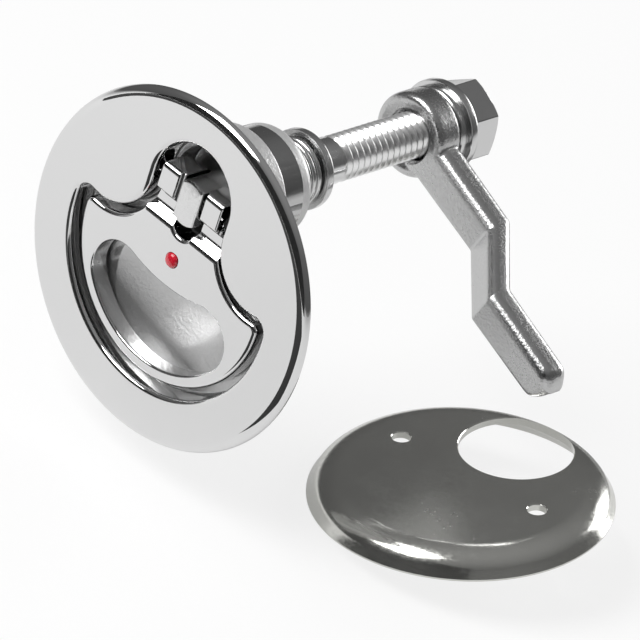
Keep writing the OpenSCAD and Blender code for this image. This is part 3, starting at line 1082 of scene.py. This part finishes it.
@dataclass
class SpindleSet:
    """The spindle with its tongue and thread, the spring, the retainer washer and the retaining ring."""

    finishes: Finishes
    r: float = 5.0
    front: float = -1.9
    tongue_half: float = 2.8
    tongue_end: float = 9.7
    tongue_round: float = 0.25
    thread_y: float = 40.0
    end: float = 84.3
    pitch: float = 1.78
    ridge: float = 0.86
    boss_y: float = 23.0
    spring_len: float = 7.6
    spring_gap: float = 0.05
    wire: float = 1.25
    coils: float = 4.25
    spring_r: float = 7.5
    retainer: Point2 = (8.5, 1.8)
    ring: Point2 = (6.3, 1.0)
    ring_groove: Point2 = (0.6, 1.1)

    def rod(self) -> Solid:
        """The plain rod with its flat tongue, and the thread's core.

        Returns:
            The rod.
        """
        r, front, (cut, wide) = self.r, self.front, self.ring_groove
        groove_y = self.boss_y + self.spring_len + self.retainer[1]
        root = r - self.ridge - 0.02
        shape = [(0, front), (r - 0.5, front), (r - 0.15, front + 0.15), (r, front + 0.5), (r, groove_y),
                 (r - cut, groove_y), (r - cut, groove_y + wide), (r, groove_y + wide),
                 (r, self.thread_y - 0.3), (root, self.thread_y + 0.5), (root, self.end - 0.3),
                 (root - 0.5, self.end), (0, self.end)]
        obj = turned("spindle_rod", shape, AXIS, 96)
        low, high, t, e = front - 1, self.tongue_end, self.tongue_half, self.tongue_round
        flat = [(low, t - e), (front, t - e), (front + e, t), (high - 0.5, t), (high + 1.2, r + 0.5),
                (low, r + 0.5)]
        for s in (-1, 1):
            rings = [[(s * x, y, z) for y, x in flat] for z in (SPINDLE_Z - 6, SPINDLE_Z + 6)]
            combine(obj, [lofted("flat", rings)], Cut.TAKE)
        return obj

    def build(self) -> None:
        """Makes the spindle and what sits on it."""
        f, wire, gap = self.finishes, self.wire / 2, self.spring_gap
        dress(self.rod(), Body.SPINDLE, f.turned, "spindle")
        turns = (self.end - self.thread_y - 0.9) / self.pitch
        ridge = CoilTree("thread_ridge", 4, 40, 0.3).wind(
            "spindle_thread", f.thread, radius=self.r - self.ridge, start=self.thread_y + 0.2,
            length=turns * self.pitch, turns=turns, section=self.ridge + 0.12, fade_turns=0.6)
        dress(ridge, Body.SPINDLE, f.thread, "spindle", angle=50)
        spring = CoilTree("spring_wire", 14, 48, 0).wind(
            "coil_spring", f.wire, radius=self.spring_r - wire, start=self.boss_y + gap + wire,
            length=self.spring_len - 2 * gap - self.wire, turns=self.coils, section=wire)
        y, (outer, thick) = self.boss_y + self.spring_len, self.retainer
        dress(spring, Body.HOUSING, f.wire, "compression_spring", 60,
              stretch=(Body.SPINDLE, self.boss_y, y))
        plate = washer("retainer_plate", (self.r + 0.08, outer), (y, thick), (0.2, 0.05, 0.06, 0.22), 96)
        dress(plate, Body.SPINDLE, f.washer, "retainer_washer")
        ring_r, ring_t = self.ring
        clip = split_ring("snap_ring", (self.r - 0.58, ring_r), (y + thick + 0.05, ring_t), (112, 428), 0.12)
        dress(clip, Body.SPINDLE, f.wire, "retaining_ring")


@dataclass
class ArmSet:
    """The joggled cam arm with its lock washer, flat washer and nut."""

    finishes: Finishes
    hub_y: float = 63.8
    hub_r: float = 9.1
    arm_t: float = 6.8
    bore_r: float = 5.08
    mouth_r: float = 5.73
    bends: Point2 = (27.0, 41.5)
    reach: float = 64.5
    joggle: float = 12.0
    widths: Point2 = (9.7, 8.1)
    slope_deg: float = 19.7
    soft: float = 2.3
    crisp: float = 0.7
    lock: Point2 = (9.0, 2.2)
    washer: Point2 = (10.0, 2.0)
    nut_af: float = 16.0
    nut_h: float = 8.0
    nut_turn: float = 35.0
    nut_mouth: float = 5.9

    def front_at(self, x: float) -> float:
        """Depth of the arm's front face at a distance x from the spindle."""
        a, b = self.bends
        return self.hub_y - self.joggle * min(max((x - a) / (b - a), 0), 1)

    def section(self, x: float, half: float, shrink: float) -> list[Point3]:
        """A section of the arm with three soft corners and a crisp one.

        Args:
            x: Distance from the spindle.
            half: Half of the width there.
            shrink: Inset of every side, for the round tip.

        Returns:
            The ring of points.
        """
        y0, y1 = self.front_at(x) + shrink, self.front_at(x) + self.arm_t - shrink
        half = max(half - shrink, 0.05)
        crisp, soft = min(self.crisp, half * 0.9), min(self.soft, half * 0.9)
        ring = arc((half - soft, y1 - soft), soft, 90, 0, 6)
        ring += arc((half - soft, y0 + soft), soft, 0, -90, 6)
        ring += arc((-half + crisp, y0 + crisp), crisp, 270, 180, 6)
        ring += arc((-half + soft, y1 - soft), soft, 180, 90, 6)
        return [(x, y, z) for z, y in ring]

    def arm(self) -> Solid:
        """The whole casting, melted together and softened.

        Returns:
            The arm.
        """
        (a, b), (w0, w1), mouth = self.bends, self.widths, self.mouth_r
        tip, round_tip = self.reach - w1 / 2, w1 / 2
        bends = [bend + d for bend in (a, b) for d in (-1.5, -0.6, 0.0, 0.6, 1.5)]
        stations = [0.0, 6.0, 12.0] + bends[:5] + [(a + b) / 2] + bends[5:] + [(b + tip) / 2, tip]
        rings = [self.section(x, (w0 + (w1 - w0) * x / tip) / 2, 0.0) for x in stations]
        for t in (math.radians(90 * k / 8) for k in range(1, 9)):
            rings.append(self.section(tip + round_tip * math.sin(t), round_tip * math.cos(t) + 0.02,
                                      self.soft * (1 - math.cos(t))))
        arm = lofted("cam_arm_casting", rings)
        y0, y1 = self.hub_y, self.hub_y + self.arm_t
        hub = [(0.0, y0 + 0.7), (mouth, y0 + 0.7)] + arc((self.hub_r - 1.4, y0 + 1.4), 1.4, -110, 0, 9)
        hub += arc((self.hub_r - 1.0, y1 - 1.0), 1.0, 0, 90, 6) + [(0.0, y1)]
        combine(arm, [turned("hub", hub)], Cut.ADD)
        melt(arm, 0.28, 5)
        bore = [(0.0, y0 - 2), (mouth + 1.0, y0 - 2), (mouth, y0 + 1.0), (self.bore_r, y0 + 1.7),
                (self.bore_r, y1 + 2), (0.0, y1 + 2)]
        combine(arm, [turned("hub_bore", bore, steps=96)], Cut.TAKE)
        turn = Matrix.Rotation(math.radians(self.slope_deg), 4, "Y")
        arm.data.transform(Matrix.Translation(AXIS) @ turn)
        return arm

    def nut(self, y: float) -> Solid:
        """The hexagon nut, chamfered on both faces.

        Args:
            y: Depth of its front face.

        Returns:
            The nut.
        """
        corner, e, mouth = self.nut_af / math.sqrt(3), y + self.nut_h, self.nut_mouth
        ring = arc((0, SPINDLE_Z), corner, self.nut_turn, self.nut_turn + 300, 5)
        obj = lofted("hexagon_nut", [[(x, d, z) for x, z in ring] for d in (y, e)])
        bevel = obj.modifiers.new("edges", "BEVEL")
        bevel.width, bevel.segments, bevel.limit_method, bevel.angle_limit = 0.3, 3, "ANGLE", math.radians(40)
        apply_modifiers(obj)
        cut = corner - self.nut_af / 2 + 0.25
        rise, out = cut * math.tan(math.radians(30)), corner + 0.1
        cone = [(0, y), (corner - cut, y), (out, y + rise), (out, e - rise), (corner - cut, e), (0, e)]
        combine(obj, [turned("cone", cone, AXIS, 120)], Cut.COMMON)
        hole = [(0, y - 1), (mouth, y - 1), (mouth, y), (self.bore_r, y + 0.8), (self.bore_r, e - 0.8),
                (mouth, e), (mouth, e + 1), (0, e + 1)]
        return combine(obj, [turned("nut_hole", hole, AXIS, 96)], Cut.TAKE)

    def build(self) -> None:
        """Makes the arm and its fasteners."""
        f, y = self.finishes, self.hub_y + self.arm_t
        dress(self.arm(), Body.ARM, f.tumbled, "cam_arm", angle=50)
        lock_r, lock_t = self.lock
        lock = split_ring("split_washer", (5.3, lock_r), (y, lock_t), (147, 495), 0.22)
        dress(lock, Body.ARM, f.washer, "lock_washer")
        y, (r, t) = y + lock_t, self.washer
        flat = washer("flat_washer_disc", (5.4, r), (y, t), (0.4, 0.1, 0.12, 0.45), 120)
        dress(flat, Body.ARM, f.washer, "flat_washer")
        dress(self.nut(y + t), Body.ARM, f.nut, "hex_nut", angle=25)


@dataclass
class BackingPlate:
    """The loose round plate with a rolled rim, a large hole for the boss and two screw holes."""

    finishes: Finishes
    r: float = 31.75
    h: float = 5.2
    t: float = 1.5
    roll: float = 6.6
    foot: float = 0.45
    hole: Point2 = (12.0, 16.4)
    screw_r: float = 2.0
    screw: Point2 = (18.9, 2.0)
    at: Point3 = (50.9, 50.2, -37.4)
    lean: Point2 = (7.8, -10.9)

    def build(self) -> None:
        """Makes the plate and lays it beside the latch."""
        r, h, t, centre, flank = self.r, self.h, self.t, (self.r - self.roll, 0.0), self.roll - self.foot
        section = [(0.0, h)] + oval(centre, flank, h, 90, 20, 14)
        section += [(r, self.foot), (r, 0.1), (r - 0.1, 0.0), (r - t, 0.0)]
        section += oval(centre, flank - t, h - t, 20, 90, 14) + [(0.0, h - t)]
        lie = Matrix.Rotation(math.radians(90), 4, "X")
        obj = moved(turned("backing_disc", section, steps=200), lie)
        (hole_r, hole_y), (x, y) = self.hole, self.screw
        for radius, hx, hy in ((hole_r, 0.0, hole_y), (self.screw_r, x, y), (self.screw_r, -x, y)):
            drill = turned("hole", drilled(radius, -2, h, (0.2, 0.2, 0.02), 3), steps=96)
            combine(obj, [moved(drill, Matrix.Translation((hx, hy, 0)) @ lie)], Cut.TAKE)
        lean_x, lean_y = (math.radians(a) for a in self.lean)
        lean = Matrix.Rotation(lean_y, 4, "Y") @ Matrix.Rotation(lean_x, 4, "X")
        obj.data.transform(Matrix.Translation(self.at) @ lean)
        dress(obj, Body.HOUSING, self.finishes.sheet, "backing_plate", angle=30)


# Studio


@dataclass
class Studio:
    """The pale floor, the soft light and the camera at the photograph's angle."""

    azimuth: float = 34.649
    elevation: float = 31.436
    roll: float = 18.695
    focal_px: float = 8000.0
    distance: float = 1607.444
    origin_px: Point2 = (172.052, 268.863)
    frame_px: float = 640.0
    sensor_mm: float = 36.0
    floor_z: float = -45.6
    floor_half: float = 4.0
    aim: Point3 = (0.02, 0.03, -0.01)

    def camera(self) -> None:
        """Sets up the camera."""
        a, e, r = (math.radians(v) for v in (self.azimuth, self.elevation, self.roll))
        back = Vector((math.sin(a) * math.cos(e), -math.cos(a) * math.cos(e), math.sin(e)))
        right0 = Vector((math.cos(a), math.sin(a), 0))
        up0 = back.cross(right0)
        right = right0 * math.cos(r) + up0 * math.sin(r)
        up = up0 * math.cos(r) - right0 * math.sin(r)
        per_px = self.distance / self.focal_px
        x0 = (self.origin_px[0] - self.frame_px / 2) * per_px
        y0 = (self.frame_px / 2 - self.origin_px[1]) * per_px
        eye = (back * self.distance - right * x0 - up * y0) * MM
        data = bpy.data.cameras.new("camera")
        data.sensor_width, data.lens = self.sensor_mm, self.sensor_mm * self.focal_px / self.frame_px
        data.clip_start, data.clip_end = 0.05, 20.0
        cam = linked("camera", data)
        cam.matrix_world = Matrix(((right.x, up.x, back.x, eye.x), (right.y, up.y, back.y, eye.y),
                                   (right.z, up.z, back.z, eye.z), (0, 0, 0, 1)))
        bpy.context.scene.camera = cam

    def sheet(self, name: str, points: Sequence[Point3], material: Material) -> Solid:
        """A flat sheet of the studio.

        Args:
            name: Object name.
            points: Its corners in metres.
            material: Its material.

        Returns:
            The sheet.
        """
        mesh = bpy.data.meshes.new(name)
        mesh.from_pydata(points, [], [tuple(range(len(points)))])
        mesh.materials.append(material)
        obj = linked(name, mesh)
        return obj

    def floor(self) -> None:
        """Lays the pale floor under everything."""
        material = bpy.data.materials.new("pale_floor")
        n = Nodes.of(material)
        path = n.add("ShaderNodeLightPath").outputs
        matt = n.add("ShaderNodeBsdfDiffuse", in_Color=(0.95, 0.95, 0.95, 1)).outputs[0]
        white = n.add("ShaderNodeEmission", in_Color=(1, 1, 1, 1), in_Strength=1.0).outputs[0]
        mixed = n.add("ShaderNodeMixShader", in_Fac=0.8, in_1=matt, in_2=white).outputs[0]
        seen = n.math("MAXIMUM", path["Is Camera Ray"], path["Is Transmission Ray"])
        seen = n.math("MAXIMUM", seen, n.times(path["Is Glossy Ray"], 0.5))
        plain = n.add("ShaderNodeMixShader", in_Fac=seen, in_1=matt, in_2=mixed)
        n.add("ShaderNodeOutputMaterial", in_Surface=plain.outputs[0])
        s, z = self.floor_half, self.floor_z * MM
        self.sheet("floor", [(-s, -s, z), (s, -s, z), (s, s, z), (-s, s, z)], material)

    def world(self) -> None:
        """White to the camera, and a light tent with a dark band to the metal."""
        world = bpy.data.worlds.new("tent")
        bpy.context.scene.world = world
        n = Nodes.of(world)
        place = n.add("ShaderNodeTexCoord")
        split = n.add("ShaderNodeSeparateXYZ", in_0=place.outputs["Generated"])
        height = n.math("ADD", n.times(split.outputs["Z"], 0.5), 0.5)
        ramp = n.add("ShaderNodeValToRGB", in_Fac=height)
        stops = ((0.0, 0.6), (0.47, 0.5), (0.52, 0.1), (0.75, 0.14), (1.0, 0.3))
        elements = ramp.color_ramp.elements
        for i, (at, value) in enumerate(stops):
            stop = elements[i] if i < 2 else elements.new(at)
            stop.position, stop.color = at, (value, value, value, 1)
        tent = n.add("ShaderNodeBackground", in_Strength=1.0, in_Color=ramp.outputs["Color"])
        white = n.add("ShaderNodeBackground", in_Strength=1.0, in_Color=(1, 1, 1, 1))
        path = n.add("ShaderNodeLightPath")
        mixed = n.add("ShaderNodeMixShader", in_Fac=path.outputs["Is Camera Ray"], in_1=tent.outputs[0],
                      in_2=white.outputs[0])
        n.add("ShaderNodeOutputWorld", in_Surface=mixed.outputs[0])

    def lamp(self, name: str, place: Point3, size: float, watts: float) -> None:
        """A square soft lamp that looks at the latch.

        Args:
            name: Lamp name.
            place: Its place in metres.
            size: Side in metres.
            watts: Power.
        """
        data = bpy.data.lights.new(name, "AREA")
        data.shape, data.size, data.energy = "SQUARE", size, watts
        lamp = linked(name, data)
        lamp.location = place
        lamp.rotation_mode = "QUATERNION"
        lamp.rotation_quaternion = (Vector(self.aim) - Vector(place)).to_track_quat("-Z", "Y")

    def card(self, name: str, points: Sequence[Point3], tone: float = 0.03) -> None:
        """A dark card that only shows in the polished metal.

        Args:
            name: Card name.
            points: Its corners in metres.
            tone: How light it is.
        """
        material = bpy.data.materials.new(name)
        material.use_nodes = True
        sockets = material.node_tree.nodes["Principled BSDF"].inputs
        sockets["Base Color"].default_value = (tone, tone, tone, 1)
        sockets["Roughness"].default_value = 0.9
        obj = self.sheet(name, points, material)
        obj.visible_camera = obj.visible_diffuse = obj.visible_shadow = obj.visible_transmission = False

    def build(self) -> None:
        """Sets up the studio."""
        self.camera()
        self.floor()
        self.world()
        self.lamp("key", (-0.34, -0.56, 0.76), 0.6, 10.0)
        self.lamp("back", (0.13, 0.95, 0.27), 0.5, 4.0)
        left, far, low = -0.40, -0.35, self.floor_z * MM + 0.001
        self.card("card_front", [(left, far, -0.04), (0.45, far, -0.04), (0.45, far, 0.30), (left, far, 0.30)])
        edge = ((14, -30), (11, -40), (7, -52), (0, -66), (-10, -80), (-22, -92), (-36, -103), (-58, -114),
                (-78, -118), (-120, -124), (-400, -160), (-400, -350), (160, -350), (160, -140), (78, -64),
                (55, -30))
        self.card("card_near", [(x * MM, y * MM, low) for x, y in edge])
        x0, x1, y0, y1 = -0.15, 0.045, 0.12, 0.70
        self.card("card_back", [(x0, y0, low), (x1, y0, low), (x1, y1, low), (x0, y1, low)], 0.3)
        bpy.context.scene.view_settings.view_transform = "Standard"


def main() -> None:
    """Builds the latch and its studio."""
    logging.basicConfig(level=logging.INFO, format="%(name)s: %(message)s")
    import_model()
    Studio().build()
    finishes = Finishes()
    for part in (Housing, Handle, SpindleSet, ArmSet, BackingPlate):
        LOG.info("building %s", part.__name__)
        part(finishes).build()
    bpy.context.view_layer.update()


if __name__ == "__main__":
    main()
